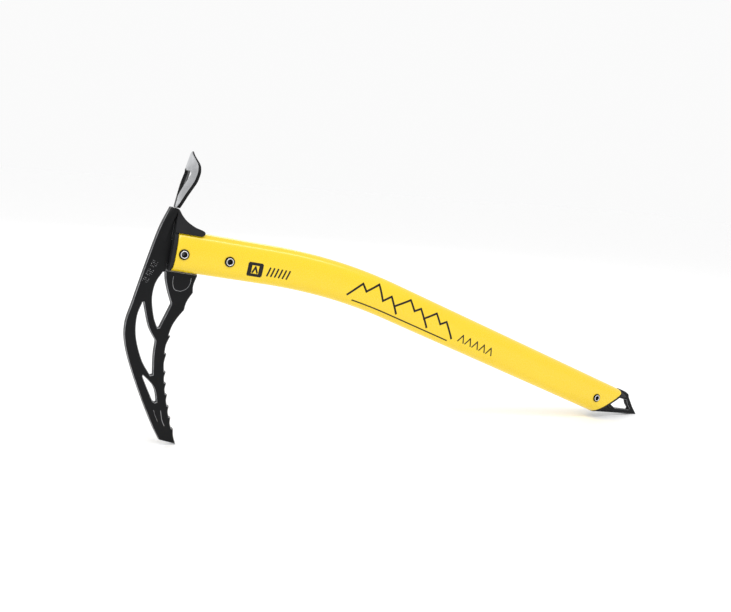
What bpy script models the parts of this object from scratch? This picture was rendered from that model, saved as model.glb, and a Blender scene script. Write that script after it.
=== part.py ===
"""Ice axe: steel head with pick and adze, bent tube shaft, steel spike.

Side-view sizes are laid out in the shaft frame: X runs along the upper shaft
from its head end, Z points to the adze and Y is the thickness.  Past the bend
the tail frame takes over, with u as the length along the shaft's midline and
v as the height above it.  The root empty then stands the axe on its two tips.
"""
import math

import bmesh
import bpy
from mathutils import Matrix, Vector

MM = 0.001

# Driving dimensions, in metres
SHAFT_LENGTH = 0.430          # along the midline, head end to the heel of the oblique cut
SHAFT_HEIGHT = 0.030
SHAFT_WIDTH = 0.019
SHAFT_WALL = 0.0015
SHAFT_SQUARENESS = 2.7        # exponent of the superellipse section
STRAIGHT_LENGTH = 0.072       # upper shaft before the bend
BEND_RADIUS = 0.452
BEND_ANGLE = math.radians(13.85)

PLATE_THICKNESS = 0.005       # head plate
TANG_LENGTH = 0.048
TANG_HEIGHT = 0.018
TANG_DROP = 0.0016            # rivet line below the midline

TOOTH_DEPTH = 0.0014
FIRST_TOOTH = 0.0475          # first crest below the shaft's underside
LONG_PITCH = 0.0134
SHORT_PITCH = 0.0085
TEETH = 8
LONG_TEETH = 2                # pitches of the long kind

ADZE_HEIGHT = 0.0412          # above the crown
ADZE_HALF_WIDTH = 0.0145
ADZE_THICKNESS = 0.0024
ADZE_CURVATURE = 24.6         # transverse bow, 1/m
ADZE_FOOT_X = -0.0050         # ridge line at the foot
ADZE_TIP_X = 0.0008           # ridge line at the tip
ADZE_HOLLOW = 0.0006          # the ridge's sag between them
ADZE_SLOT_FOOT = 0.0085       # slot's narrow end above the adze's foot
ADZE_SLOT_HEIGHT = 0.0187
ADZE_SLOT_HALF_WIDTH = 0.0092

CAP_THICKNESS = 0.0024        # palm rest
PALM_REST_FOOT = -0.004       # height at which it runs out
PALM_REST_HALF_WIDTH = 0.0087 # at its top
PALM_REST_SWEEP_FOOT = 0.0062 # its edges forward of its middle, at the foot
PALM_REST_SWEEP_TOP = 0.0026  # and at the top

COLLAR_LENGTH = 0.0027
WING_HALF_WIDTH = 0.0082
WING_TAPER = 0.45             # share of the width that is lost up to the crown
SKIRT_DEPTH = 0.0022          # wing's skirt below the shaft's top

RIVET_BORE_RADIUS = 0.0018
RIVET_SHANK_RADIUS = 0.0023
RIVET_FLANGE_RADIUS = 0.0031
RIVET_FLANGE = 0.0007
WASHER_RADIUS = 0.0038
WASHER_THICKNESS = 0.0005
FRONT_RIVET_X = 0.0055
REAR_RIVET_X = 0.0396

SPIKE_THICKNESS = 0.005
SPIKE_LENGTH = 0.0564         # heel of the oblique cut to the tip
SPIKE_TANG_LENGTH = 0.024     # inside the shaft, behind the heel of the cut
SPIKE_TANG_HEIGHT = 0.018
SPIKE_RIVET_BACK = 0.0061     # spike rivet behind the heel of the cut
SPIKE_RIVET_DROP = 0.0019     # and below the midline
CUT_ANGLE = math.radians(48.6)
CUT_CORNER_RADIUS = 0.0025
PLUG_LIP = 0.0018
PLUG_SEAT = 0.0002            # depth at which the spike's shoulder is let into the lip
PLUG_BACK = 0.0020            # plug behind the spike's tang
NOSE_HALF_WIDTH = 0.0082

CLEARANCE = 0.0003            # between pieces that touch
RIVET_CLEARANCE = 0.0002
SEAT_GAP = 0.0001             # under washers and rivet flanges

TOP = SHAFT_HEIGHT / 2
UNDERSIDE = -SHAFT_HEIGHT / 2
RIVET_Z = -TANG_DROP
HALF_PLATE = PLATE_THICKNESS / 2
HALF_SPIKE = SPIKE_THICKNESS / 2
COLLAR_FRONT = -CLEARANCE - COLLAR_LENGTH
PLATE_FRONT = COLLAR_FRONT - CLEARANCE      # the plate's edge that faces the collar
CROWN_TOP = TOP + 0.0147
BEND_LENGTH = BEND_RADIUS * BEND_ANGLE
TIP_U = SHAFT_LENGTH + SPIKE_LENGTH
CUT_SLOPE = 1 / math.tan(CUT_ANGLE)         # along the shaft per height
SWEEP_END = SHAFT_LENGTH + SHAFT_HEIGHT * CUT_SLOPE + 0.004     # past the cut's top corner
FAR = 0.06                                   # reach of cutters past the axe's sides

SECTION_POINTS = 40
SADDLE_SIDES = 10             # points across a bowed sheet
BEND_STEPS = 14
CURVE_STEP = 0.0026           # longest chord of a smooth outline
RIVET_HOLE_RADIUS = RIVET_SHANK_RADIUS + RIVET_CLEARANCE


# ---------------------------------------------------------------- outlines

def above(x, z):
    """A point given in millimetres above the shaft's top line."""
    return Vector((x * MM, TOP + z * MM))


def below(x, z):
    """A point given in millimetres from the shaft's underside, negative down."""
    return Vector((x * MM, UNDERSIDE + z * MM))


def smooth_run(points):
    """Points of a Catmull-Rom curve through the given points, ends included."""
    if len(points) < 3:
        return list(points)
    padded = [2 * points[0] - points[1], *points, 2 * points[-1] - points[-2]]
    run = [points[0]]
    for p0, p1, p2, p3 in zip(padded, padded[1:], padded[2:], padded[3:]):
        steps = max(1, round((p2 - p1).length / CURVE_STEP))
        for i in range(1, steps + 1):
            t = i / steps
            run.append(0.5 * (2 * p1 + (p2 - p0) * t + (2 * p0 - 5 * p1 + 4 * p2 - p3) * t ** 2
                              + (3 * p1 - p0 - 3 * p2 + p3) * t ** 3))
    return run


def outline(*runs):
    """A closed outline from smooth runs that meet at corners."""
    loop = []
    for run in runs:
        for point in smooth_run(run):
            if not loop or (point - loop[-1]).length > 1e-6:
                loop.append(point)
    if (loop[0] - loop[-1]).length < 1e-6:
        loop.pop()
    return loop


def height_to_x(run, z):
    """Where a run of points that climbs or falls throughout passes height z."""
    for a, b in zip(run, run[1:]):
        if min(a.y, b.y) <= z <= max(a.y, b.y):
            return a.x + (b.x - a.x) * (z - a.y) / (b.y - a.y)
    return min(run, key=lambda point: abs(point.y - z)).x


def shaft_section(inset=0.0):
    """Superellipse section of the shaft as (y, z), moved in by inset."""
    ring = []
    for i in range(SECTION_POINTS):
        angle = 2 * math.pi * (i + 0.5) / SECTION_POINTS
        c, s = math.cos(angle), math.sin(angle)
        power = 2 / SHAFT_SQUARENESS
        ring.append(Vector((SHAFT_WIDTH / 2 * math.copysign(abs(c) ** power, c),
                            SHAFT_HEIGHT / 2 * math.copysign(abs(s) ** power, s))))
    moved = []
    for before, here, after in zip(ring[-1:] + ring[:-1], ring, ring[1:] + ring[:1]):
        along = (after - before).normalized()
        moved.append(here + inset * Vector((-along.y, along.x)))
    return moved


def tail_point(u, v):
    """A tail-frame point (length along the midline, height) in the shaft frame."""
    past = u - STRAIGHT_LENGTH - BEND_LENGTH
    c, s = math.cos(BEND_ANGLE), math.sin(BEND_ANGLE)
    x = STRAIGHT_LENGTH + BEND_RADIUS * s + past * c + v * s
    z = -BEND_RADIUS * (1 - c) - past * s + v * c
    return Vector((x, z))


def cut_face(lip):
    """The oblique cut's side view, moved out by lip, from far below to the end of its top corner."""
    radius = CUT_CORNER_RADIUS + lip
    heel_u = SHAFT_LENGTH + lip / math.sin(CUT_ANGLE)
    corner_u = heel_u + (SHAFT_HEIGHT + lip) * CUT_SLOPE
    centre = Vector((corner_u - radius / math.tan(CUT_ANGLE / 2), TOP - CUT_CORNER_RADIUS))
    face = [Vector((heel_u - FAR * CUT_SLOPE, UNDERSIDE - FAR))]
    for i in range(9):
        turn = CUT_ANGLE - math.pi / 2 + i / 8 * (math.pi - CUT_ANGLE)
        face.append(centre + radius * Vector((math.cos(turn), math.sin(turn))))
    return face


def on_cut(v, lip):
    """The point of the oblique cut, moved out by lip, at height v."""
    return Vector((height_to_x(cut_face(lip), v), v))


# ------------------------------------------------------------------ meshes

def link(obj, collection, material=None):
    collection.objects.link(obj)
    obj.parent = root
    if material:
        obj.data.materials.append(material)
    return obj


def mesh_object(name, bm):
    bmesh.ops.recalc_face_normals(bm, faces=bm.faces)
    mesh = bpy.data.meshes.new(name)
    bm.to_mesh(mesh)
    bm.free()
    return bpy.data.objects.new(name, mesh)


def flat_piece(name, loops, half_thickness, tail=False):
    """A plate lying in the XZ plane: a filled 2D curve, holes included, made a mesh."""
    curve = bpy.data.curves.new(name, "CURVE")
    curve.dimensions = "2D"
    curve.fill_mode = "BOTH"
    curve.extrude = half_thickness
    curve.render_resolution_u = 0
    for loop in loops:
        spline = curve.splines.new("POLY")
        spline.points.add(len(loop) - 1)
        for spot, point in zip(spline.points, loop):
            x, z = tail_point(*point) if tail else point
            spot.co = (x, z, 0, 1)
        spline.use_cyclic_u = True
    obj = bpy.data.objects.new(name, curve)
    bpy.context.scene.collection.objects.link(obj)
    evaluated = obj.evaluated_get(bpy.context.evaluated_depsgraph_get())
    mesh = bpy.data.meshes.new_from_object(evaluated)
    bpy.data.objects.remove(obj)
    bpy.data.curves.remove(curve)
    bm = bmesh.new()
    bm.from_mesh(mesh)
    bpy.data.meshes.remove(mesh)
    bmesh.ops.remove_doubles(bm, verts=bm.verts, dist=1e-6)
    bm.transform(Matrix.Rotation(math.pi / 2, 4, "X"))
    return mesh_object(name, bm)


def loft(name, rings):
    """A closed solid through rings of equal point counts, given in 3D."""
    bm = bmesh.new()
    rows = [[bm.verts.new(point) for point in ring] for ring in rings]
    for low, high in zip(rows, rows[1:]):
        for i in range(len(low)):
            j = (i + 1) % len(low)
            bm.faces.new((low[i], low[j], high[j], high[i]))
    bm.faces.new(list(reversed(rows[0])))
    bm.faces.new(rows[-1])
    return mesh_object(name, bm)


def midline_stations(start, end):
    """Lengths along the midline at which a swept piece has a section."""
    bend = [STRAIGHT_LENGTH + BEND_LENGTH * i / BEND_STEPS for i in range(BEND_STEPS + 1)]
    return [start, *(u for u in bend if start < u < end), end]


def swept_along_shaft(name, start, end, inset):
    """The shaft's section, moved in by inset, swept along the midline."""
    rings = []
    for u in midline_stations(start, end):
        turned = min(max((u - STRAIGHT_LENGTH) / BEND_RADIUS, 0.0), BEND_ANGLE)
        if turned < BEND_ANGLE:
            x = min(u, STRAIGHT_LENGTH) + BEND_RADIUS * math.sin(turned)
            z = -BEND_RADIUS * (1 - math.cos(turned))
        else:
            x, z = tail_point(u, 0)
        rings.append([Vector((x + p.y * math.sin(turned), p.x, z + p.y * math.cos(turned)))
                      for p in shaft_section(inset)])
    return loft(name, rings)


def rivet_hole_cutter(name, x, z):
    """A round cutter across the axe, for a rivet at (x, z)."""
    bm = bmesh.new()
    bmesh.ops.create_cone(bm, cap_ends=True, segments=32, radius1=RIVET_HOLE_RADIUS,
                          radius2=RIVET_HOLE_RADIUS, depth=2 * FAR)
    bm.transform(Matrix.Translation((x, 0, z)) @ Matrix.Rotation(math.pi / 2, 4, "X"))
    return as_cutter(mesh_object(name, bm))


def box_cutter(name, low, high):
    """A cutter with its lowest and highest corners in the shaft frame."""
    bm = bmesh.new()
    bmesh.ops.create_cube(bm, size=1)
    low, high = Vector(low), Vector(high)
    bm.transform(Matrix.Translation((low + high) / 2) @ Matrix.Diagonal((*(high - low), 1)))
    return as_cutter(mesh_object(name, bm))


def as_cutter(obj):
    link(obj, cutters)
    obj.hide_render = True
    obj.display_type = "WIRE"
    return obj


def boolean(obj, tool, operation="DIFFERENCE"):
    modifier = obj.modifiers.new(operation.lower(), "BOOLEAN")
    modifier.operation = operation
    modifier.solver = "EXACT"
    modifier.object = tool
    return obj


def material(name, colour, roughness, metallic):
    made = bpy.data.materials.new(name)
    made.use_nodes = True
    shader = made.node_tree.nodes["Principled BSDF"]
    shader.inputs["Base Color"].default_value = (*colour, 1)
    shader.inputs["Roughness"].default_value = roughness
    shader.inputs["Metallic"].default_value = metallic
    return made


# ------------------------------------------------------------------- head

def back_edge():
    """The head's back edge from the crown to the chin behind the pick's tip."""
    return [above(-8.0, 14.7), above(-12.9, -0.7), below(-17.4, 6.8), below(-22.7, -24.6),
            below(-25.4, -43.5), below(-21.6, -61.3), below(-9.6, -87.0), below(5.0, -113.2),
            below(13.3, -126.0)]


def pick_edge():
    """The pick's toothed edge from the tip up, each crest a barb that faces the shaft."""
    base = smooth_run([below(26.4, -128.5), below(19.5, -113.0), below(15.3, -101.0), below(11.3, -88.0),
                       below(8.4, -75.0), below(6.8, -65.0), below(6.2, -57.0), below(6.9, -47.5)])
    crests = [UNDERSIDE - FIRST_TOOTH - LONG_PITCH * min(i, LONG_TEETH)
              - SHORT_PITCH * max(i - LONG_TEETH, 0) for i in range(TEETH)]
    edge = [base[0]]
    for i, z in reversed(list(enumerate(crests))):
        low = crests[i + 1] if i + 1 < TEETH else base[0].y
        if i + 1 < TEETH:
            edge.append(Vector((height_to_x(base, low) - 0.1 * TOOTH_DEPTH, low + 0.25 * MM)))
        edge.append(Vector((height_to_x(base, (low + z) / 2) - 0.05 * TOOTH_DEPTH, (low + z) / 2)))
        edge.append(Vector((height_to_x(base, z) + 0.9 * TOOTH_DEPTH, z)))
    edge.append(Vector((height_to_x(base, crests[0]) - 0.1 * TOOTH_DEPTH, crests[0] + 0.25 * MM)))
    return edge


def head_outline():
    """Side view of the head plate, counted from the crown down the back edge."""
    tip = below(26.4, -128.5)
    back = back_edge()
    teeth = pick_edge()
    neck = [teeth[-1], below(8.0, -40.5), below(10.6, -34.2), below(14.7, -27.4)]
    scallop = [below(14.7, -27.4), below(15.6, -21.0), below(18.9, -13.8)]
    heel = [below(18.9, -13.8), below(18.3, -8.5), below(19.8, -1.2)]
    heel_top = UNDERSIDE - CLEARANCE
    tang_low = RIVET_Z - TANG_HEIGHT / 2
    tang_high = RIVET_Z + TANG_HEIGHT / 2
    tang = [Vector((19.6 * MM, heel_top)), Vector((PLATE_FRONT, heel_top)), Vector((PLATE_FRONT, tang_low)),
            Vector((TANG_LENGTH, tang_low)), Vector((TANG_LENGTH, tang_high)), Vector((PLATE_FRONT, tang_high)),
            Vector((PLATE_FRONT, CROWN_TOP))]
    points = outline(back, [back[-1], tip]) + teeth[1:]
    points += outline(neck, scallop, heel)[1:] + tang
    return points


def head_holes():
    """The three lightening holes, each from its top corner round clockwise."""
    upper = outline([below(-3.6, -1.9), below(-2.2, -8.0), below(1.0, -16.2), below(4.4, -23.2)],
                    [below(4.6, -24.6), below(-0.9, -42.3)],
                    [below(-2.2, -42.8), below(-6.2, -34.8), below(-9.6, -22.0), below(-9.2, -11.0),
                     below(-5.4, -2.0)])
    middle = outline([below(-15.0, -25.4), below(-13.1, -31.0), below(-8.4, -43.0), below(-2.0, -52.3)],
                     [below(-1.8, -53.6), below(-1.5, -63.5), below(0.4, -77.4)],
                     [below(-1.4, -78.0), below(-9.4, -67.2), below(-16.2, -51.0), below(-18.0, -36.5),
                      below(-16.0, -25.6)])
    lower = outline([below(-6.6, -78.4), below(-2.7, -81.4), below(1.8, -85.6), below(4.6, -90.6),
                     below(6.6, -97.4)],
                    [below(5.6, -98.0), below(3.6, -97.0)],
                    [below(2.6, -95.4), below(-3.4, -85.2), below(-6.8, -79.2)])
    return [upper, middle, lower]


def back_edge_x(z):
    """Where the head's back edge stands at height z."""
    return height_to_x(smooth_run(back_edge()), z)


def palm_rest_solid(name, grow=0.0):
    """The flared saddle over the crown's back edge; grow widens it to cut its seat."""
    foot_half = HALF_PLATE + 0.2 * MM
    rings = []
    for i in range(9):
        share = i / 8
        z = PALM_REST_FOOT + (CROWN_TOP - PALM_REST_FOOT) * share
        half = foot_half + (PALM_REST_HALF_WIDTH - foot_half) * share ** 1.4
        sweep = PALM_REST_SWEEP_FOOT + (PALM_REST_SWEEP_TOP - PALM_REST_SWEEP_FOOT) * share
        outer, inner = [], []
        for j in range(SADDLE_SIDES + 1):
            across = 2 * j / SADDLE_SIDES - 1
            x = back_edge_x(z) + sweep * abs(across) ** 2.2
            outer.append(Vector((x - 10 * grow, across * (half + grow), z)))
            inner.append(Vector((x + CAP_THICKNESS + grow, across * (half - grow), z)))
        if grow:
            reach = Vector((8 * grow, 0, 0))
            outer.append(inner[-1] + reach + Vector((0, 2 * grow, 0)))
            outer.insert(0, inner[0] + reach - Vector((0, 2 * grow, 0)))
        rings.append(outer + inner[::-1])
    if grow:
        rings.insert(0, [point - Vector((0, 0, grow)) for point in rings[0]])
        rings.append([point + Vector((0, 0, 10 * grow)) for point in rings[-1]])
    return loft(name, rings)


def build_palm_rest():
    link(palm_rest_solid("palm_rest"), parts, black_steel)


def build_head_plate():
    plate = flat_piece("head_plate", [head_outline(), *head_holes()], HALF_PLATE)
    link(plate, parts, black_steel)
    boolean(plate, as_cutter(palm_rest_solid("palm_rest_seat", CLEARANCE)))
    for name, x in (("front", FRONT_RIVET_X), ("rear", REAR_RIVET_X)):
        boolean(plate, rivet_hole_cutter(f"tang_hole_{name}", x, RIVET_Z))


def adze_half_width(share):
    """Half width of the spade at a share of its height, narrow at the neck and pointed."""
    stations = [(0.0, 0.32), (0.10, 0.50), (0.30, 0.76), (0.47, 0.95), (0.60, 1.0), (0.70, 0.98),
                (0.80, 0.85), (0.90, 0.50), (1.0, 0.035)]
    for (low, a), (high, b) in zip(stations, stations[1:]):
        if share <= high:
            return (a + (b - a) * (share - low) / (high - low)) * ADZE_HALF_WIDTH


def build_adze():
    foot = CROWN_TOP + CLEARANCE
    rings = []
    rows = 20
    for i in range(rows + 1):
        share = i / rows
        z = foot + ADZE_HEIGHT * share
        ridge = ADZE_FOOT_X + (ADZE_TIP_X - ADZE_FOOT_X) * share - 4 * ADZE_HOLLOW * share * (1 - share)
        half = adze_half_width(share)
        thickness = ADZE_THICKNESS * (1.15 - 0.75 * share ** 4)
        outer, inner = [], []
        for j in range(SADDLE_SIDES + 1):
            y = half * (2 * j / SADDLE_SIDES - 1)
            x = ridge + ADZE_CURVATURE * y * y
            outer.append(Vector((x, y, z)))
            inner.append(Vector((x + thickness, y, z)))
        rings.append(outer + inner[::-1])
    adze = link(loft("adze", rings), parts, ground_steel)
    low = foot + ADZE_SLOT_FOOT
    side = [Vector((0.0010, low)), Vector((ADZE_SLOT_HALF_WIDTH, low + 0.86 * ADZE_SLOT_HEIGHT)),
            Vector((0.8 * ADZE_SLOT_HALF_WIDTH, low + ADZE_SLOT_HEIGHT))]
    slot = side + [Vector((-point.x, point.y)) for point in reversed(side)]
    cutter = flat_piece("adze_slot", [slot], FAR)
    cutter.data.transform(Matrix.Rotation(math.pi / 2, 4, "Z"))
    boolean(adze, as_cutter(cutter))


# --------------------------------------------------------- moulded pieces

def build_thumb_rest():
    """Collar between the head and the shaft, with the wing over the shaft's top."""
    rest = swept_along_shaft("thumb_rest", COLLAR_FRONT, -CLEARANCE, 0.0)
    link(rest, parts, black_plastic)
    skirt = TOP - SKIRT_DEPTH
    side = outline([Vector((COLLAR_FRONT, CROWN_TOP - 0.0025)), above(-2.6, 14.4), above(-1.4, 13.4)],
                   [above(-1.4, 13.4), above(0.6, 10.6), above(3.4, 7.8), above(7.2, 5.4), above(11.6, 3.5),
                    above(16.6, 2.3), above(18.5, 1.2), above(18.6, -0.4), above(17.6, -1.6)],
                   [Vector((0.0166, skirt)), Vector((COLLAR_FRONT, skirt))])
    wing = flat_piece("thumb_rest_wing", [side], WING_HALF_WIDTH)
    for vertex in wing.data.vertices:
        rise = max(0.0, vertex.co.z - TOP) / (CROWN_TOP - TOP)
        vertex.co.y *= 1 - WING_TAPER * min(rise, 1.0)
    boolean(rest, as_cutter(wing), "UNION")
    boolean(rest, as_cutter(swept_along_shaft("thumb_rest_saddle", -CLEARANCE, 0.05, -CLEARANCE)))
    slot = HALF_PLATE + CLEARANCE
    tang_low = RIVET_Z - TANG_HEIGHT / 2 - CLEARANCE
    tang_high = RIVET_Z + TANG_HEIGHT / 2 + CLEARANCE
    boolean(rest, box_cutter("thumb_rest_slot", (-FAR, -slot, tang_low), (FAR / 2, slot, tang_high)))


def build_tang_spacers():
    """Packing between the tang and the tube's walls, one on each side."""
    slot = HALF_PLATE + CLEARANCE
    for name, side in (("left", 1), ("right", -1)):
        spacer = swept_along_shaft(f"tang_spacer_{name}", CLEARANCE, TANG_LENGTH + 0.002,
                                   SHAFT_WALL + CLEARANCE)
        link(spacer, parts, grey_plastic)
        low, high = sorted((side * slot, -side * FAR))
        boolean(spacer, box_cutter(f"spacer_half_{name}", (-FAR, low, -FAR), (2 * FAR, high, FAR)))
        for place, x in (("front", FRONT_RIVET_X), ("rear", REAR_RIVET_X)):
            boolean(spacer, rivet_hole_cutter(f"spacer_hole_{place}_{name}", x, RIVET_Z))


# ------------------------------------------------------------------- shaft

def beyond_cut(name, lip):
    """Everything past the oblique cut, moved out by lip."""
    face = cut_face(lip)
    beyond = [Vector((face[-1].x - FAR, TOP + lip)), Vector((face[-1].x - FAR, TOP + FAR)),
              Vector((SWEEP_END + FAR, TOP + FAR)), Vector((SWEEP_END + FAR, UNDERSIDE - FAR))]
    return as_cutter(flat_piece(name, [face + beyond], FAR, tail=True))


def before_cut(name, lip):
    """Everything on the shaft's side of the oblique cut, moved out by lip."""
    back = SHAFT_LENGTH - 2 * FAR
    loop = cut_face(lip) + [Vector((back, TOP + lip)), Vector((back, UNDERSIDE - FAR))]
    return as_cutter(flat_piece(name, [loop], FAR, tail=True))


def spike_rivet_place():
    """Where the spike's rivet crosses the midline's side view."""
    return tail_point(SHAFT_LENGTH - SPIKE_RIVET_BACK, -SPIKE_RIVET_DROP)


def build_shaft():
    shaft = link(swept_along_shaft("shaft", 0.0, SWEEP_END, 0.0), parts, yellow_paint)
    bore = swept_along_shaft("shaft_bore", -0.01, SWEEP_END + 0.01, SHAFT_WALL)
    boolean(shaft, as_cutter(bore))
    boolean(shaft, beyond_cut("shaft_end_cut", 0.0))
    for place, x, z in (("front", FRONT_RIVET_X, RIVET_Z), ("rear", REAR_RIVET_X, RIVET_Z),
                        ("spike", *spike_rivet_place())):
        boolean(shaft, rivet_hole_cutter(f"shaft_hole_{place}", x, z))


# ------------------------------------------------------------------- spike

def spike_outline():
    """Side view of the spike in the tail frame, counted from the back of its tang."""
    lip = PLUG_LIP + CLEARANCE
    half_tang = SPIKE_TANG_HEIGHT / 2
    back = SHAFT_LENGTH - SPIKE_TANG_LENGTH
    heel = UNDERSIDE + 0.0004
    crest = TOP + 0.0006
    corner = [Vector((TIP_U - 0.0172, TOP - 0.0028)), Vector((TIP_U - 0.0190, TOP - 0.0006)),
              Vector((TIP_U - 0.0240, crest))]
    shoulder = [point for point in cut_face(lip) if half_tang < point.y < crest]
    shoulder.append(on_cut(crest, lip))
    return [Vector((back, -half_tang)), on_cut(-half_tang, lip), on_cut(heel, lip),
            Vector((TIP_U, -0.0002)), Vector((TIP_U, 0.0002)), Vector((TIP_U - 0.0079, 0.0050)),
            *smooth_run(corner), *reversed(shoulder), on_cut(half_tang, lip), Vector((back, half_tang))]


def spike_windows():
    """The carabiner window and the small slot behind its strut, in the tail frame."""
    bar_foot = Vector((TIP_U - 0.0282, -0.0033))

    def on_bar(u):
        return Vector((u, bar_foot.y + 0.229 * (u - bar_foot.x)))

    lip = PLUG_LIP + CLEARANCE + 0.0005
    end = on_bar(TIP_U - 0.0108)
    window = [on_cut(-0.0004, lip), bar_foot, end, end + Vector((0.0002, 0.0017)),
              Vector((TIP_U - 0.0152, 0.0050)), Vector((TIP_U - 0.0184, 0.0086)), on_cut(0.0066, lip)]
    slot = [on_cut(-0.0028, lip), on_bar(TIP_U - 0.0463), on_bar(TIP_U - 0.0341)]
    return [window, slot]


def build_spike():
    spike = flat_piece("spike", [spike_outline(), *spike_windows()], HALF_SPIKE, tail=True)
    link(spike, parts, black_steel)
    boolean(spike, rivet_hole_cutter("spike_hole", *spike_rivet_place()))


def plug_nose(name):
    """The cheek over the spike's upper edge, from the lip down to the plate's thickness."""
    sections = [(-0.0104, 1.0, -0.0080, -0.0004), (-0.0050, 0.95, -0.0076, -0.0004),
                (0.0, 0.85, -0.0072, -0.0004), (0.0050, 0.71, -0.0068, -0.0006),
                (0.0095, 0.54, -0.0060, -0.0014), (0.0125, 0.41, -0.0050, -0.0030)]
    lip_u = on_cut(TOP - 0.0070, PLUG_LIP).x
    rings = []
    for u, width, low, high in sections:
        half = width * NOSE_HALF_WIDTH
        ring = [(half * 0.8, low), (-half * 0.8, low)]
        for i in range(13):
            angle = math.pi * i / 12
            rise = 0.25 + 0.75 * math.sin(angle) ** 0.8
            ring.append((-half * math.cos(angle), low + (high - low) * rise))
        points = []
        for y, v in ring:
            x, z = tail_point(lip_u + u, TOP + v)
            points.append(Vector((x, y, z)))
        rings.append(points)
    return loft(name, rings)


def spike_slot(name):
    """Room for the spike in its plug: the tang's slot and all that lies past the lip."""
    lip = PLUG_LIP - PLUG_SEAT
    half_tang = SPIKE_TANG_HEIGHT / 2 + CLEARANCE
    back = SHAFT_LENGTH - SPIKE_TANG_LENGTH - CLEARANCE
    far_u = SWEEP_END + FAR
    face = cut_face(lip)
    upper = [point for point in face if point.y > half_tang]
    loop = [Vector((back, -half_tang)), on_cut(-half_tang, lip), face[0],
            Vector((far_u, UNDERSIDE - FAR)), Vector((far_u, TOP + FAR)), Vector((upper[-1].x, TOP + FAR)),
            *reversed(upper), on_cut(half_tang, lip), Vector((back, half_tang))]
    return as_cutter(flat_piece(name, [loop], HALF_SPIKE + CLEARANCE, tail=True))


def build_spike_plug():
    """Moulded plug: fills the tube round the spike's tang and covers the cut with its lip."""
    start = SHAFT_LENGTH - SPIKE_TANG_LENGTH - PLUG_BACK
    plug = link(swept_along_shaft("spike_plug", start, SWEEP_END, 0.0), parts, black_plastic)
    boolean(plug, beyond_cut("plug_lip_face", PLUG_LIP))
    boolean(plug, as_cutter(plug_nose("plug_nose")), "UNION")
    boolean(plug, before_cut("plug_lip_back", CLEARANCE))
    core = as_cutter(swept_along_shaft("plug_core", start, SWEEP_END, SHAFT_WALL + CLEARANCE))
    boolean(core, beyond_cut("plug_core_face", PLUG_LIP / 2))
    boolean(plug, core, "UNION")
    boolean(plug, spike_slot("plug_spike_slot"))
    boolean(plug, rivet_hole_cutter("plug_hole", *spike_rivet_place()))


# ------------------------------------------------------------------ rivets

def turned_piece(name, profile, x, z, surface):
    """A turned ring across the axe from a closed (radius, length) profile."""
    mesh = bpy.data.meshes.new(name)
    points = [(radius, 0, length) for radius, length in profile]
    mesh.from_pydata(points, [(i, (i + 1) % len(points)) for i in range(len(points))], [])
    obj = link(bpy.data.objects.new(name, mesh), parts, surface)
    screw = obj.modifiers.new("turn", "SCREW")
    screw.axis = "Z"
    screw.steps = screw.render_steps = 32
    screw.use_merge_vertices = True
    screw.merge_threshold = 1e-6
    obj.location = (x, 0, z)
    obj.rotation_euler = (math.pi / 2, 0, 0)
    return obj


def build_rivet(name, x, z):
    """A tubular rivet with a rolled flange at each end, and its two washers."""
    seat = SHAFT_WIDTH / 2 + SEAT_GAP
    flange = seat + WASHER_THICKNESS + SEAT_GAP
    end = flange + RIVET_FLANGE
    roll = 0.4 * RIVET_FLANGE
    upper = [(RIVET_BORE_RADIUS, end - 2 * roll), (RIVET_BORE_RADIUS + roll, end),
             (RIVET_FLANGE_RADIUS - roll, end), (RIVET_FLANGE_RADIUS, end - roll),
             (RIVET_FLANGE_RADIUS, flange), (RIVET_SHANK_RADIUS, flange)]
    profile = upper + [(radius, -length) for radius, length in reversed(upper)]
    turned_piece(f"{name}_rivet", profile, x, z, rivet_steel)
    for side, sign in (("near", 1), ("far", -1)):
        low, high = sorted((sign * seat, sign * (seat + WASHER_THICKNESS)))
        washer = [(RIVET_HOLE_RADIUS, high), (WASHER_RADIUS, high), (WASHER_RADIUS, low),
                  (RIVET_HOLE_RADIUS, low)]
        turned_piece(f"{name}_washer_{side}", washer, x, z, black_steel)


# ---------------------------------------------------------------- assembly

def evaluated_corners():
    """Lowest and highest corner of the visible pieces in world space."""
    graph = bpy.context.evaluated_depsgraph_get()
    points = []
    for obj in parts.objects:
        shown = obj.evaluated_get(graph)
        points += [shown.matrix_world @ vertex.co for vertex in shown.data.vertices]
    low = Vector(min(point[i] for point in points) for i in range(3))
    high = Vector(max(point[i] for point in points) for i in range(3))
    return low, high


def stand_on_tips():
    """Turn the axe so that its pick tip and spike tip rest on the ground, centred over the origin."""
    pick = below(26.4, -128.5)
    spike = tail_point(TIP_U, 0)
    root.rotation_euler = (0, math.atan2(spike.y - pick.y, spike.x - pick.x), 0)
    bpy.context.view_layer.update()
    low, high = evaluated_corners()
    root.location = (-(low.x + high.x) / 2, -(low.y + high.y) / 2, -low.z)
    bpy.context.view_layer.update()


for old in list(bpy.data.objects):
    bpy.data.objects.remove(old)
parts = bpy.data.collections.new("ice_axe")
cutters = bpy.data.collections.new("cutters")
bpy.context.scene.collection.children.link(parts)
bpy.context.scene.collection.children.link(cutters)
root = bpy.data.objects.new("ice_axe_root", None)
bpy.context.scene.collection.objects.link(root)

black_steel = material("black_steel", (0.020, 0.021, 0.023), 0.38, 0.6)
ground_steel = material("ground_steel", (0.45, 0.46, 0.47), 0.30, 1.0)
black_plastic = material("black_plastic", (0.016, 0.016, 0.017), 0.50, 0.0)
grey_plastic = material("grey_plastic", (0.12, 0.12, 0.12), 0.60, 0.0)
yellow_paint = material("yellow_paint", (0.90, 0.62, 0.02), 0.22, 0.0)
rivet_steel = material("rivet_steel", (0.70, 0.71, 0.72), 0.25, 1.0)

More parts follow.
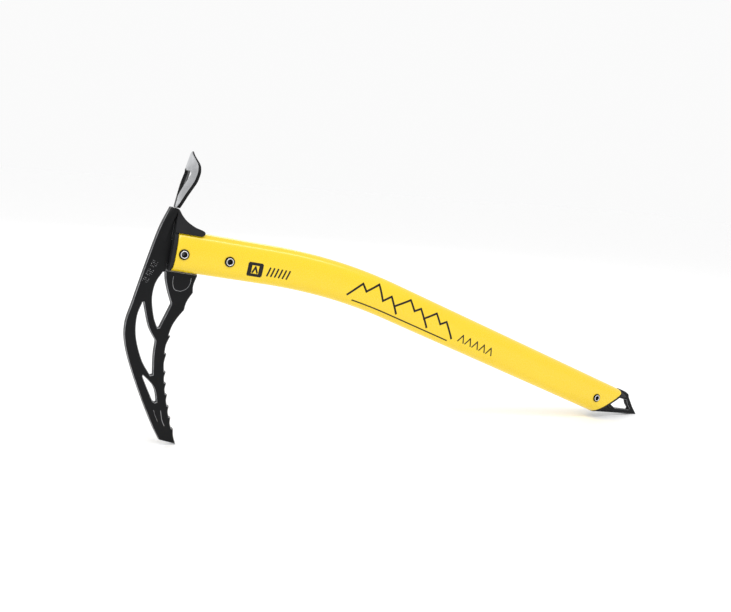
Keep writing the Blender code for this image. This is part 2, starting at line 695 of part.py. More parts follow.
build_head_plate()
build_palm_rest()
build_adze()
build_thumb_rest()
build_tang_spacers()
build_shaft()
build_spike()
build_spike_plug()
build_rivet("head_front", FRONT_RIVET_X, RIVET_Z)
build_rivet("head_rear", REAR_RIVET_X, RIVET_Z)
build_rivet("spike", *spike_rivet_place())
stand_on_tips()
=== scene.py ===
import math

import bmesh
import bpy
from mathutils import Matrix, Vector


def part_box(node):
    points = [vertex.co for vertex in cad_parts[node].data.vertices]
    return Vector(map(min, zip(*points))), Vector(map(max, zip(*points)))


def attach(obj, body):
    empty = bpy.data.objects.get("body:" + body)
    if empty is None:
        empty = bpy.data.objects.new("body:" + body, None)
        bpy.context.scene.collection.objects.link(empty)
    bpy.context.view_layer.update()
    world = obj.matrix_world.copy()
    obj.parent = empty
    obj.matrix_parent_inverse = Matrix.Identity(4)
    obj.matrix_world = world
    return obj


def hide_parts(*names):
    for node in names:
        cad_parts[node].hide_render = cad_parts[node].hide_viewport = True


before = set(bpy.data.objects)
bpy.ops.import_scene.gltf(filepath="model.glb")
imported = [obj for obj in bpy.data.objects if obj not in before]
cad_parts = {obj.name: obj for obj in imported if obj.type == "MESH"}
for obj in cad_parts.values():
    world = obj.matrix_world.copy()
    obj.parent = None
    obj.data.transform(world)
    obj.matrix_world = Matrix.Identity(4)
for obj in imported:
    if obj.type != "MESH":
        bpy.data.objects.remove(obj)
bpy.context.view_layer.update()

# The ice axe's side view is laid out in the shaft frame: X along the upper shaft from its
# head end, Y across, Z towards the adze.  Past the bend, u is the length along the shaft's
# midline and v the height above it.  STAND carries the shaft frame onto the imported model.
MM = 0.001

SHAFT_HEIGHT = 0.030
SHAFT_WIDTH = 0.019
SHAFT_WALL = 0.0015
SHAFT_SQUARENESS = 2.7
SHAFT_LENGTH = 0.430          # head end to the heel of the oblique cut
STRAIGHT_LENGTH = 0.072
BEND_RADIUS = 0.452
BEND_ANGLE = math.radians(13.85)
BEND_LENGTH = BEND_RADIUS * BEND_ANGLE
CUT_ANGLE = math.radians(48.6)
CUT_CORNER_RADIUS = 0.0025
TOP = SHAFT_HEIGHT / 2
UNDERSIDE = -SHAFT_HEIGHT / 2
GAP = 0.0003                  # seam between neighbouring pieces

PLATE_HALF = 0.0025
PLATE_BEVEL = 0.0005
FRONT_RIVET = (0.0055, -0.0016)
REAR_RIVET = (0.0396, -0.0016)
SPIKE_RIVET_BACK = 0.0061
SPIKE_RIVET_V = -0.0019
TIP_U = SHAFT_LENGTH + 0.0564
SPIKE_BEVEL = 0.0003
SPIKE_TANG_LENGTH = 0.024     # behind the heel of the cut
SPIKE_TANG_HALF = 0.009
RIVET_HOLE_RADIUS = 0.0025
PLUG_LIP = 0.0018
PLUG_SEAT = 0.0002            # depth at which the spike is let into the lip
COLLAR_LENGTH = 0.0027
SWEEP_END = SHAFT_LENGTH + 0.034    # past the cut's top corner
REACH = 0.06                  # of cutters past the axe's sides
CROWN_TOP = TOP + 0.0147


# ------------------------------------------------------------ shaft frame

def tail_point(u, v):
    """A point at length u and height v on the straight tail, as (x, z)."""
    past = u - STRAIGHT_LENGTH - BEND_LENGTH
    c, s = math.cos(BEND_ANGLE), math.sin(BEND_ANGLE)
    return Vector((STRAIGHT_LENGTH + BEND_RADIUS * s + past * c + v * s,
                   -BEND_RADIUS * (1 - c) - past * s + v * c))


def shaft_point(u, v):
    """A point at length u and height v anywhere on the shaft, as (x, z)."""
    turned = min(max((u - STRAIGHT_LENGTH) / BEND_RADIUS, 0.0), BEND_ANGLE)
    if turned >= BEND_ANGLE:
        return tail_point(u, v)
    x = min(u, STRAIGHT_LENGTH) + BEND_RADIUS * math.sin(turned)
    z = -BEND_RADIUS * (1 - math.cos(turned))
    return Vector((x + v * math.sin(turned), z + v * math.cos(turned)))


def node_centre(name):
    low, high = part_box(name)
    return (low + high) / 2


def stand_matrix():
    """The shaft frame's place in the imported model, from the front and the spike rivet."""
    front_here = Vector(FRONT_RIVET)
    spike_here = tail_point(SHAFT_LENGTH - SPIKE_RIVET_BACK, SPIKE_RIVET_V)
    front, spike = node_centre("head_front_rivet"), node_centre("spike_rivet")
    here = math.atan2(spike_here.y - front_here.y, spike_here.x - front_here.x)
    there = math.atan2(spike.z - front.z, spike.x - front.x)
    turn = Matrix.Rotation(here - there, 4, "Y")
    return Matrix.Translation(front - turn @ Vector((front_here.x, 0, front_here.y))) @ turn


STAND = stand_matrix()


# --------------------------------------------------------------- outlines

def above(x, z):
    """A point given in millimetres above the shaft's top line."""
    return Vector((x * MM, TOP + z * MM))


def below(x, z):
    """A point given in millimetres from the shaft's underside, negative down."""
    return Vector((x * MM, UNDERSIDE + z * MM))


def smooth_run(points, step=0.0009):
    """Points of a Catmull-Rom curve through the given points, ends included."""
    if len(points) < 3:
        count = max(1, round((points[-1] - points[0]).length / (3 * step)))
        return [points[0].lerp(points[-1], i / count) for i in range(count + 1)]
    padded = [2 * points[0] - points[1], *points, 2 * points[-1] - points[-2]]
    run = [points[0]]
    for p0, p1, p2, p3 in zip(padded, padded[1:], padded[2:], padded[3:]):
        steps = max(1, round((p2 - p1).length / step))
        for i in range(1, steps + 1):
            t = i / steps
            run.append(0.5 * (2 * p1 + (p2 - p0) * t + (2 * p0 - 5 * p1 + 4 * p2 - p3) * t ** 2
                              + (3 * p1 - p0 - 3 * p2 + p3) * t ** 3))
    return run


def outline(*runs, step=0.0009):
    """A closed outline from smooth runs that meet at corners."""
    loop = []
    for run in runs:
        for point in smooth_run(run, step):
            if not loop or (point - loop[-1]).length > 1e-6:
                loop.append(point)
    if (loop[0] - loop[-1]).length < 1e-6:
        loop.pop()
    return loop


def superellipse(i, count, half_width, half_height, power):
    angle = 2 * math.pi * (i + 0.5) / count
    c, s = math.cos(angle), math.sin(angle)
    return Vector((half_width * math.copysign(abs(c) ** (2 / power), c),
                   half_height * math.copysign(abs(s) ** (2 / power), s)))


def shaft_section(inset=0.0, count=96):
    """Superellipse section of the shaft as (y, z), moved in by inset."""
    ring = [superellipse(i, count, SHAFT_WIDTH / 2, SHAFT_HEIGHT / 2, SHAFT_SQUARENESS)
            for i in range(count)]
    moved = []
    for before, here, after in zip(ring[-1:] + ring[:-1], ring, ring[1:] + ring[:1]):
        along = (after - before).normalized()
        moved.append(here + inset * Vector((-along.y, along.x)))
    return moved


def cut_u(v, lip=0.0):
    """Where the oblique cut, moved out by lip, stands at height v."""
    return SHAFT_LENGTH + (v - UNDERSIDE) / math.tan(CUT_ANGLE) + lip / math.sin(CUT_ANGLE)


def cut_face(lip=0.0, reach=0.06, steps=16):
    """The oblique cut's side view from far below to far behind, round at its top corner."""
    radius = CUT_CORNER_RADIUS + lip
    centre = Vector((cut_u(TOP + lip, lip) - radius / math.tan(CUT_ANGLE / 2), TOP - CUT_CORNER_RADIUS))
    face = [Vector((cut_u(UNDERSIDE - reach, lip), UNDERSIDE - reach))]
    for i in range(steps + 1):
        turn = CUT_ANGLE - math.pi / 2 + i / steps * (math.pi - CUT_ANGLE)
        face.append(centre + radius * Vector((math.cos(turn), math.sin(turn))))
    face.append(Vector((centre.x - reach, TOP + lip)))
    return face


# ----------------------------------------------------------------- meshes

def to_mesh_object(name, bm, recalc=True):
    if recalc:
        bmesh.ops.recalc_face_normals(bm, faces=bm.faces)
    mesh = bpy.data.meshes.new(name)
    bm.to_mesh(mesh)
    bm.free()
    obj = bpy.data.objects.new(name, mesh)
    bpy.context.scene.collection.objects.link(obj)
    return obj


def flat_plate(name, loops, half, tail=False):
    """A sharp-edged plate in the XZ plane from outlines, holes included."""
    curve = bpy.data.curves.new(name, "CURVE")
    curve.dimensions = "2D"
    curve.fill_mode = "BOTH"
    curve.extrude = half
    curve.render_resolution_u = 0
    for loop in loops:
        spline = curve.splines.new("POLY")
        spline.points.add(len(loop) - 1)
        for spot, point in zip(spline.points, loop):
            x, z = tail_point(*point) if tail else point
            spot.co = (x, z, 0, 1)
        spline.use_cyclic_u = True
    obj = bpy.data.objects.new(name, curve)
    bpy.context.scene.collection.objects.link(obj)
    mesh = evaluated_mesh(obj)
    bpy.data.objects.remove(obj)
    bm = bmesh.new()
    bm.from_mesh(mesh)
    bpy.data.meshes.remove(mesh)
    bmesh.ops.remove_doubles(bm, verts=bm.verts, dist=1e-6)
    bm.transform(Matrix.Rotation(math.pi / 2, 4, "X"))
    return to_mesh_object(name, bm)


def evaluated_mesh(obj):
    bpy.context.view_layer.update()
    return bpy.data.meshes.new_from_object(obj.evaluated_get(bpy.context.evaluated_depsgraph_get()))


def bake_modifiers(obj):
    """Replace the object's mesh by its evaluated one, with no modifier left."""
    mesh = evaluated_mesh(obj)
    obj.modifiers.clear()
    obj.data = mesh
    return obj


def moved_in(loop, distance, hole):
    """An outline moved into the plate's metal by distance, blunt at its corners."""
    area = sum(a.x * b.y - b.x * a.y for a, b in zip(loop, loop[1:] + loop[:1]))
    turn = 1 if (area > 0) != hole else -1
    moved = []
    for before, here, after in zip(loop[-1:] + loop[:-1], loop, loop[1:] + loop[:1]):
        first, second = (here - before).normalized(), (after - here).normalized()
        inward = Vector((-first.y - second.y, first.x + second.x)).normalized()
        lean = max(inward.dot(Vector((-first.y, first.x))), 0.75)
        moved.append(here + inward * turn * distance / lean)
    return moved


def bridge(bm, rings):
    """Walls between neighbouring rings of equal point counts."""
    for low, high in zip(rings, rings[1:]):
        for i in range(len(low)):
            j = (i + 1) % len(low)
            bm.faces.new((low[i], low[j], high[j], high[i]))


def rounded_plate(name, loops, half, radius, tail=False, steps=3):
    """A plate in the XZ plane whose rims are rounded by radius."""
    if tail:
        loops = [[tail_point(*point) for point in loop] for loop in loops]
    caps = flat_plate(name, [moved_in(loop, radius, i > 0) for i, loop in enumerate(loops)], half)
    bm = bmesh.new()
    bm.from_mesh(caps.data)
    bpy.data.objects.remove(caps)
    bm.normal_update()
    walls = [face for face in bm.faces if abs(face.normal.y) < 0.5]
    bmesh.ops.delete(bm, geom=walls, context="FACES")
    turns = [(-1, k / steps) for k in range(steps, -1, -1)] + [(1, k / steps) for k in range(steps + 1)]
    for index, loop in enumerate(loops):
        rings = []
        for side, share in turns:
            inset = radius * (1 - math.cos(share * math.pi / 2))
            y = side * (half - radius + radius * math.sin(share * math.pi / 2))
            ring = moved_in(loop, inset, index > 0)
            rings.append([bm.verts.new((point.x, y, point.y)) for point in ring])
        bridge(bm, rings)
    bmesh.ops.remove_doubles(bm, verts=bm.verts, dist=2e-6)
    return to_mesh_object(name, bm)


def circle(x, z, radius, count=48):
    """A round outline about a point."""
    turns = [2 * math.pi * i / count for i in range(count)]
    return [Vector((x + radius * math.cos(turn), z + radius * math.sin(turn))) for turn in turns]


def flat_sides(obj):
    """Keep a plate's two sides flat: the edges where its rims begin stay sharp."""
    bm = bmesh.new()
    bm.from_mesh(obj.data)
    for edge in bm.edges:
        flat = [abs(face.normal.y) > 0.9999 for face in edge.link_faces]
        if any(flat) and not all(flat):
            edge.smooth = False
    bm.to_mesh(obj.data)
    bm.free()


def loft(name, rings):
    """A solid through rings of equal point counts."""
    bm = bmesh.new()
    rows = [[bm.verts.new(point) for point in ring] for ring in rings]
    bridge(bm, rows)
    bm.faces.new(list(reversed(rows[0])))
    bm.faces.new(rows[-1])
    return to_mesh_object(name, bm)


def swept_along_shaft(name, start, end, inset, spacing=0.0025):
    """The shaft's section, moved in by inset, swept along the midline."""
    steps = max(1, round((end - start) / spacing))
    stations = [start + (end - start) * i / steps for i in range(steps + 1)]
    section = shaft_section(inset)
    rings = []
    for u in stations:
        rings.append([Vector((shaft_point(u, p.y).x, p.x, shaft_point(u, p.y).y)) for p in section])
    return loft(name, rings)


def boolean(obj, tool, operation="DIFFERENCE"):
    """Cut or join at once, and remove the tool."""
    modifier = obj.modifiers.new("shape", "BOOLEAN")
    modifier.operation = operation
    modifier.solver = "EXACT"
    modifier.object = tool
    bake_modifiers(obj)
    bpy.data.objects.remove(tool)
    return obj


def rod(name, x, z, radius, half_length=0.05, segments=64):
    bm = bmesh.new()
    bmesh.ops.create_cone(bm, cap_ends=True, segments=segments, radius1=radius, radius2=radius,
                          depth=2 * half_length)
    bm.transform(Matrix.Translation((x, 0, z)) @ Matrix.Rotation(math.pi / 2, 4, "X"))
    return to_mesh_object(name, bm)


def box(name, low, high):
    bm = bmesh.new()
    bmesh.ops.create_cube(bm, size=1)
    low, high = Vector(low), Vector(high)
    bm.transform(Matrix.Translation((low + high) / 2) @ Matrix.Diagonal((*(high - low), 1)))
    return to_mesh_object(name, bm)


def finish_piece(obj, material, *nodes, slot=None, sharp_degrees=30):
    """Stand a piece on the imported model, give it its finish and let it ride."""
    obj.data.transform(STAND)
    obj.data.materials.clear()
    obj.data.materials.append(material)
    obj.data.shade_smooth()
    obj.data.set_sharp_from_angle(angle=math.radians(sharp_degrees))
    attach(obj, "root")
    if nodes:
        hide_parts(*nodes)
    return obj


# -------------------------------------------------------------- materials

class Nodes:
    """Small helper round one material's node tree."""

    def __init__(self, name, colour=(0.5, 0.5, 0.5), roughness=0.5, metallic=0.0):
        self.material = bpy.data.materials.new(name)
        self.material.use_nodes = True
        self.tree = self.material.node_tree
        self.shader = self.tree.nodes["Principled BSDF"]
        self.shader.inputs["Base Color"].default_value = (*colour, 1)
        self.shader.inputs["Roughness"].default_value = roughness
        self.shader.inputs["Metallic"].default_value = metallic
        self.place = self.add("ShaderNodeTexCoord").outputs["Object"]

    def add(self, kind, **settings):
        node = self.tree.nodes.new(kind)
        for key, value in settings.items():
            setattr(node, key, value)
        return node

    def link(self, source, target):
        self.tree.links.new(source, target)

    def noise(self, scale, detail=4.0, stretch=None, roughness=0.5):
        node = self.add("ShaderNodeTexNoise")
        node.inputs["Scale"].default_value = scale
        node.inputs["Detail"].default_value = detail
        node.inputs["Roughness"].default_value = roughness
        if stretch:
            mapping = self.add("ShaderNodeMapping")
            mapping.inputs["Scale"].default_value = stretch
            mapping.inputs["Rotation"].default_value = STAND.inverted().to_euler()
            self.link(self.place, mapping.inputs["Vector"])
            self.link(mapping.outputs["Vector"], node.inputs["Vector"])
        else:
            self.link(self.place, node.inputs["Vector"])
        return node.outputs["Fac"]

    def ramp(self, value, stops):
        node = self.add("ShaderNodeValToRGB")
        elements = node.color_ramp.elements
        while len(elements) < len(stops):
            elements.new(0.5)
        for element, (position, colour) in zip(elements, stops):
            element.position = position
            element.color = (*colour, 1) if isinstance(colour, tuple) else (colour,) * 3 + (1,)
        self.link(value, node.inputs["Fac"])
        return node.outputs["Color"]

    def mix(self, value, first, second):
        node = self.add("ShaderNodeMix", data_type="RGBA")
        self.link(value, node.inputs["Factor"])
        for socket, colour in ((node.inputs["A"], first), (node.inputs["B"], second)):
            if isinstance(colour, tuple):
                socket.default_value = (*colour, 1)
            else:
                self.link(colour, socket)
        return node.outputs["Result"]

    def colour(self, value):
        self.link(value, self.shader.inputs["Base Color"])

    def roughness(self, value):
        self.link(value, self.shader.inputs["Roughness"])

    def bump(self, height, distance, strength=1.0):
        node = self.add("ShaderNodeBump")
        node.inputs["Distance"].default_value = distance
        node.inputs["Strength"].default_value = strength
        self.link(height, node.inputs["Height"])
        self.link(node.outputs["Normal"], self.shader.inputs["Normal"])


def forged_black_steel(name="forged_black_steel"):
    """Hot-forged steel under a thin black powder coat."""
    made = Nodes(name, roughness=0.36, metallic=0.0)
    speckle = made.noise(2600, 3)
    cloud = made.noise(60, 4)
    tone = made.mix(cloud, (0.0030, 0.0032, 0.0036), (0.0070, 0.0072, 0.0080))
    made.colour(tone)
    made.roughness(made.ramp(speckle, [(0.3, 0.30), (0.75, 0.50)]))
    made.bump(speckle, 0.00006, 0.35)
    made.shader.inputs["Specular IOR Level"].default_value = 0.13
    return made.material


def bare_edge_steel():
    """Bright ground steel where the coat is taken off."""
    made = Nodes("bare_edge_steel", (0.62, 0.63, 0.65), 0.28, 1.0)
    scratches = made.noise(900, 3, stretch=(0.15, 1, 1))
    made.colour(made.mix(scratches, (0.45, 0.46, 0.48), (0.78, 0.79, 0.81)))
    made.roughness(made.ramp(scratches, [(0.3, 0.20), (0.7, 0.42)]))
    made.bump(scratches, 0.00003, 0.4)
    return made.material


def painted_highlight_steel():
    """Painted highlight: lighter grey in patches on rims, marks and dots, standing in for the light that the
    black steel's edges catch.
    """
    made = Nodes("painted_highlight_steel", (0.20, 0.20, 0.21), 0.3, 0.8)
    patches = made.noise(240, 4)
    made.colour(made.mix(patches, (0.05, 0.05, 0.055), (0.42, 0.42, 0.43)))
    made.roughness(made.ramp(patches, [(0.35, 0.22), (0.7, 0.45)]))
    made.bump(made.noise(1600, 2), 0.00003, 0.3)
    return made.material


def ground_adze_steel():
    """Adze face, ground across its width and lacquered."""
    made = Nodes("ground_adze_steel", (0.58, 0.59, 0.60), 0.32, 1.0)
    lines = made.noise(1500, 2, stretch=(1, 0.08, 1))
    cloud = made.noise(55, 3)
    base = made.mix(lines, (0.50, 0.51, 0.53), (0.76, 0.77, 0.78))
    made.colour(made.mix(made.ramp(cloud, [(0.42, 0.0), (0.62, 0.5)]), base, (0.22, 0.22, 0.23)))
    made.roughness(made.ramp(lines, [(0.3, 0.26), (0.7, 0.46)]))
    made.bump(lines, 0.00003, 0.35)
    return made.material


def yellow_lacquer():
    """Anodised tube under glossy yellow lacquer, with a faint orange-peel skin."""
    made = Nodes("yellow_lacquer", (0.90, 0.63, 0.02), 0.24, 0.0)
    cloud = made.noise(26, 3, stretch=(0.3, 1, 1))
    fine = made.noise(1400, 3)
    made.colour(made.mix(cloud, (0.77, 0.520, 0.002), (0.81, 0.585, 0.004)))
    made.roughness(made.ramp(fine, [(0.35, 0.22), (0.7, 0.33)]))
    made.bump(made.noise(420, 2), 0.00004, 0.25)
    made.shader.inputs["Coat Weight"].default_value = 0.35
    made.shader.inputs["Coat Roughness"].default_value = 0.15
    return made.material


def moulded_black(name="moulded_black", grain=1500, base=(0.011, 0.011, 0.012)):
    """Injection-moulded nylon with a fine spark-eroded grain."""
    made = Nodes(name, base, 0.5, 0.0)
    grains = made.noise(grain, 2)
    cloud = made.noise(90, 3)
    made.colour(made.mix(cloud, base, tuple(1.7 * channel for channel in base)))
    made.roughness(made.ramp(grains, [(0.3, 0.40), (0.7, 0.60)]))
    made.bump(grains, 0.00006, 0.5)
    made.shader.inputs["Specular IOR Level"].default_value = 0.13
    return made.material


def polished_rivet_steel():
    """Rolled stainless rivet, turned rings round its bore."""
    made = Nodes("polished_rivet_steel", (0.74, 0.74, 0.75), 0.2, 1.0)
    swirl = made.noise(1800, 3)
    made.colour(made.mix(swirl, (0.62, 0.62, 0.63), (0.86, 0.86, 0.87)))
    made.roughness(made.ramp(swirl, [(0.3, 0.14), (0.7, 0.32)]))
    made.bump(swirl, 0.00002, 0.3)
    return made.material


def printed_ink():
    """Satin black ink of the graphics on the lacquer."""
    made = Nodes("printed_ink", (0.012, 0.012, 0.012), 0.34, 0.0)
    made.shader.inputs["Specular IOR Level"].default_value = 0.13
    speck = made.noise(1900, 2)
    made.colour(made.mix(speck, (0.010, 0.010, 0.010), (0.022, 0.020, 0.018)))
    made.roughness(made.ramp(speck, [(0.3, 0.26), (0.7, 0.42)]))
    return made.material


def pale_floor():
    made = Nodes("pale_floor", (0.94, 0.94, 0.94), 0.9, 0.0)
    grain = made.noise(40, 3)
    made.colour(made.mix(grain, (0.93, 0.93, 0.93), (0.96, 0.96, 0.96)))
    made.shader.inputs["Emission Color"].default_value = (1, 1, 1, 1)
    made.shader.inputs["Emission Strength"].default_value = 0.05
    return made.material


# ------------------------------------------------------------------- head

TOOTH_DEPTH = 0.0014
FIRST_TOOTH = 0.0475
LONG_PITCH = 0.0134
SHORT_PITCH = 0.0085
TEETH = 8
LONG_TEETH = 2
TANG_LENGTH = 0.048
TANG_HEIGHT = 0.018
PLATE_FRONT = -2 * GAP - COLLAR_LENGTH


def height_to_x(run, z):
    """Where a run of points that climbs or falls throughout passes height z."""
    for a, b in zip(run, run[1:]):
        if min(a.y, b.y) <= z <= max(a.y, b.y):
            return a.x + (b.x - a.x) * (z - a.y) / (b.y - a.y)
    return min(run, key=lambda point: abs(point.y - z)).x


BACK_EDGE = [above(-8.0, 14.7), above(-12.9, -0.7), below(-17.4, 6.8), below(-22.7, -24.6),
             below(-25.4, -43.5), below(-21.6, -61.3), below(-9.6, -87.0), below(5.0, -113.2),
             below(13.3, -126.0)]
PICK_TIP = below(26.4, -128.5)
BACK_RUN = smooth_run(BACK_EDGE)


def pick_edge():
    """The pick's toothed edge from the tip up, each crest a barb that faces the shaft."""
    base = smooth_run([PICK_TIP, below(19.5, -113.0), below(15.3, -101.0), below(11.3, -88.0),
                       below(8.4, -75.0), below(6.8, -65.0), below(6.2, -57.0), below(6.9, -47.5)])
    crests = [UNDERSIDE - FIRST_TOOTH - LONG_PITCH * min(i, LONG_TEETH)
              - SHORT_PITCH * max(i - LONG_TEETH, 0) for i in range(TEETH)]
    edge = [base[0]]
    for i, z in reversed(list(enumerate(crests))):
        low = crests[i + 1] if i + 1 < TEETH else base[0].y
        start = edge[-1]
        if i + 1 < TEETH:
            start = Vector((height_to_x(base, low) - 0.1 * TOOTH_DEPTH, low + 0.25 * MM))
            edge.append(start)
        middle = Vector((height_to_x(base, (low + z) / 2) - 0.05 * TOOTH_DEPTH, (low + z) / 2))
        crest = Vector((height_to_x(base, z) + 0.9 * TOOTH_DEPTH, z))
        edge += smooth_run([start, middle, crest])[1:]
    edge.append(Vector((height_to_x(base, crests[0]) - 0.1 * TOOTH_DEPTH, crests[0] + 0.25 * MM)))
    return edge


def head_outline():
    """Side view of the head plate, counted from the crown down the back edge."""
    teeth = pick_edge()
    neck = [teeth[-1], below(8.0, -40.5), below(10.6, -34.2), below(14.7, -27.4)]
    scallop = [below(14.7, -27.4), below(15.6, -21.0), below(18.9, -13.8)]
    heel = [below(18.9, -13.8), below(18.3, -8.5), below(19.8, -1.2)]
    heel_top = UNDERSIDE - GAP
    middle = FRONT_RIVET[1]
    tang = [Vector((19.6 * MM, heel_top)), Vector((PLATE_FRONT, heel_top)),
            Vector((PLATE_FRONT, middle - TANG_HEIGHT / 2)), Vector((TANG_LENGTH, middle - TANG_HEIGHT / 2)),
            Vector((TANG_LENGTH, middle + TANG_HEIGHT / 2)), Vector((PLATE_FRONT, middle + TANG_HEIGHT / 2)),
            Vector((PLATE_FRONT, CROWN_TOP))]
    points = outline(BACK_EDGE, [BACK_EDGE[-1], PICK_TIP]) + teeth[1:]
    points += outline(neck, scallop, heel)[1:] + tang
    return points


def head_holes():
    """The three lightening holes, each from its top corner round clockwise."""
    upper = outline([below(-3.6, -1.9), below(-2.2, -8.0), below(1.0, -16.2), below(4.4, -23.2)],
                    [below(4.6, -24.6), below(-0.9, -42.3)],
                    [below(-2.2, -42.8), below(-6.2, -34.8), below(-9.6, -22.0), below(-9.2, -11.0),
                     below(-5.4, -2.0)])
    middle = outline([below(-15.0, -25.4), below(-13.1, -31.0), below(-8.4, -43.0), below(-2.0, -52.3)],
                     [below(-1.8, -53.6), below(-1.5, -63.5), below(0.4, -77.4)],
                     [below(-1.4, -78.0), below(-9.4, -67.2), below(-16.2, -51.0), below(-18.0, -36.5),
                      below(-16.0, -25.6)])
    lower = outline([below(-6.6, -78.4), below(-2.7, -81.4), below(1.8, -85.6), below(4.6, -90.6),
                     below(6.6, -97.4)],
                    [below(5.6, -98.0), below(3.6, -97.0)],
                    [below(2.6, -95.4), below(-3.4, -85.2), below(-6.8, -79.2)])
    return [upper, middle, lower]


def add_bevel(obj, width, segments=3, degrees=60):
    modifier = obj.modifiers.new("rim", "BEVEL")
    modifier.width = width
    modifier.segments = segments
    modifier.limit_method = "ANGLE"
    modifier.angle_limit = math.radians(degrees)
    modifier.use_clamp_overlap = False
    modifier.harden_normals = True
    return bake_modifiers(obj)


CAP_THICKNESS = 0.0024
PALM_REST_FOOT = 0.004
PALM_REST_HALF_WIDTH = 0.0087


def crown_flare(name, rows=32, sides=28):
    """The flared saddle over the crown's back edge, sunk into the plate at its foot."""
    foot_half = PLATE_HALF - 0.05 * MM
    rings = []
    for i in range(rows + 1):
        share = i / rows
        z = PALM_REST_FOOT + (CROWN_TOP - PALM_REST_FOOT) * share
        half = foot_half + (PALM_REST_HALF_WIDTH - foot_half) * share ** 1.4
        sweep = (6.2 - 3.6 * share) * MM
        outer, inner = [], []
        for j in range(sides + 1):
            across = 2 * j / sides - 1
            x = height_to_x(BACK_RUN, z) + sweep * abs(across) ** 2.2
            outer.append(Vector((x - 0.02 * MM, across * half, z)))
            inner.append(Vector((x + CAP_THICKNESS, across * half, z)))
        rings.append(outer + inner[::-1])
    return loft(name, rings)


def make_head_plate():
    """Forged plate: toothed pick, three holes, and the tang between the shaft's walls."""
    rivet_holes = [circle(x, z, RIVET_HOLE_RADIUS) for x, z in (FRONT_RIVET, REAR_RIVET)]
    loops = [head_outline(), *head_holes(), *rivet_holes]
    plate = rounded_plate("head_forging", loops, PLATE_HALF, PLATE_BEVEL)
    finish_piece(plate, forged_black, "head_plate", slot="black_steel", sharp_degrees=40)
    flat_sides(plate)
    plate.data.materials.append(painted_highlight)
    plate.data.materials.append(bare_edge)
    chin = BACK_EDGE[-1]
    end = PICK_TIP - chin
    for face in plate.data.polygons:
        here = STAND.inverted() @ face.center
        sideways = abs(face.normal.y)
        along = Vector((here.x, here.z)) - chin
        share = along.dot(end) / end.length_squared
        off = (along - end * share).length
        if -0.02 < share < 1.02 and off < 0.9 * MM and sideways < 0.97:
            face.material_index = 2
        # Rim faces between the flat sides get the painted highlight: lighter grey standing in for light on
        # the rounded rims.
        elif 0.15 < sideways < 0.97:
            face.material_index = 1
    return plate


def make_palm_rest():
    flare = crown_flare("crown_saddle")
    add_bevel(flare, 0.0005, 3, 50)
    return finish_piece(flare, forged_black, "palm_rest", slot="black_steel")


# ------------------------------------------------------------------- adze

ADZE_HEIGHT = 0.0412
ADZE_HALF_WIDTH = 0.0145
ADZE_THICKNESS = 0.0024
ADZE_CURVATURE = 24.6
ADZE_FOOT_X = -0.0050
ADZE_TIP_X = 0.0008
ADZE_HOLLOW = 0.0006
ADZE_FOOT = CROWN_TOP + GAP
ADZE_SLOT_FOOT = 0.0085
SPADE_SIDE = [(0.0, 0.32), (0.10, 0.50), (0.30, 0.76), (0.47, 0.95), (0.60, 1.0), (0.70, 0.98),
              (0.80, 0.85), (0.90, 0.50), (1.0, 0.035)]


def make_adze():
    """Bowed spade blade, ground outside and black inside, with a keyhole slot on its ridge; the far, lower
    part of the outer face is painted black as shade.
    """
    side = smooth_run([Vector((width * ADZE_HALF_WIDTH, share * ADZE_HEIGHT)) for share, width in SPADE_SIDE])
    rows, columns = 70, 36
    rings = []
    for i in range(rows + 1):
        share = i / rows
        ridge = ADZE_FOOT_X + (ADZE_TIP_X - ADZE_FOOT_X) * share - 4 * ADZE_HOLLOW * share * (1 - share)
        half = height_to_x(side, share * ADZE_HEIGHT)
        thickness = ADZE_THICKNESS * (1.15 - 0.75 * share ** 4)
        outer, inner = [], []
        for j in range(columns + 1):
            y = half * (2 * j / columns - 1)
            x = ridge + ADZE_CURVATURE * y * y
            outer.append(Vector((x, y, ADZE_FOOT + ADZE_HEIGHT * share)))
            inner.append(Vector((x + thickness, y, ADZE_FOOT + ADZE_HEIGHT * share)))
        rings.append(outer + inner[::-1])
    blade = loft("adze_blade", rings)
    low = ADZE_FOOT + ADZE_SLOT_FOOT
    edge = smooth_run([Vector((0.0010, low)), Vector((0.0058, low + 0.0085)), Vector((0.0088, low + 0.0150)),
                       Vector((0.0092, low + 0.0172)), Vector((0.0072, low + 0.0187))])
    slot = edge + [Vector((-point.x, point.y)) for point in reversed(edge)]
    cutter = flat_plate("slot", [slot], 0.05)
    cutter.data.transform(Matrix.Rotation(math.pi / 2, 4, "Z"))
    boolean(blade, cutter)
    add_bevel(blade, 0.00035, 2, 50)
    finish_piece(blade, forged_black, "adze", slot="ground_steel")
    blade.data.materials.append(ground_adze)
    for face in blade.data.polygons:
        here = STAND.inverted() @ face.center
        facing = (STAND.inverted().to_3x3() @ face.normal).x
        share = (here.z - ADZE_FOOT) / ADZE_HEIGHT
        ridge = ADZE_FOOT_X + (ADZE_TIP_X - ADZE_FOOT_X) * share - 4 * ADZE_HOLLOW * share * (1 - share)
        on_face = abs(here.x - ridge - ADZE_CURVATURE * here.y ** 2) < 0.00025
        # The far, lower part of the outer face keeps the black finish as painted shade; the rest of the outer
        # face is ground grey.
        in_shade = here.y > -0.0016 and share < 0.68
        if facing < -0.5 and on_face and not in_shade:
            face.material_index = 1
    return blade


# --------------------------------------------------------- moulded pieces

def moulded(obj, voxel, smooth_rounds):
    """Give a sharp assembly of solids the soft edges of one moulding."""
    remesh = obj.modifiers.new("moulding", "REMESH")
    remesh.mode = "VOXEL"
    remesh.voxel_size = voxel
    smooth = obj.modifiers.new("soft", "SMOOTH")
    smooth.factor = 0.5
    smooth.iterations = smooth_rounds
    return bake_modifiers(obj)


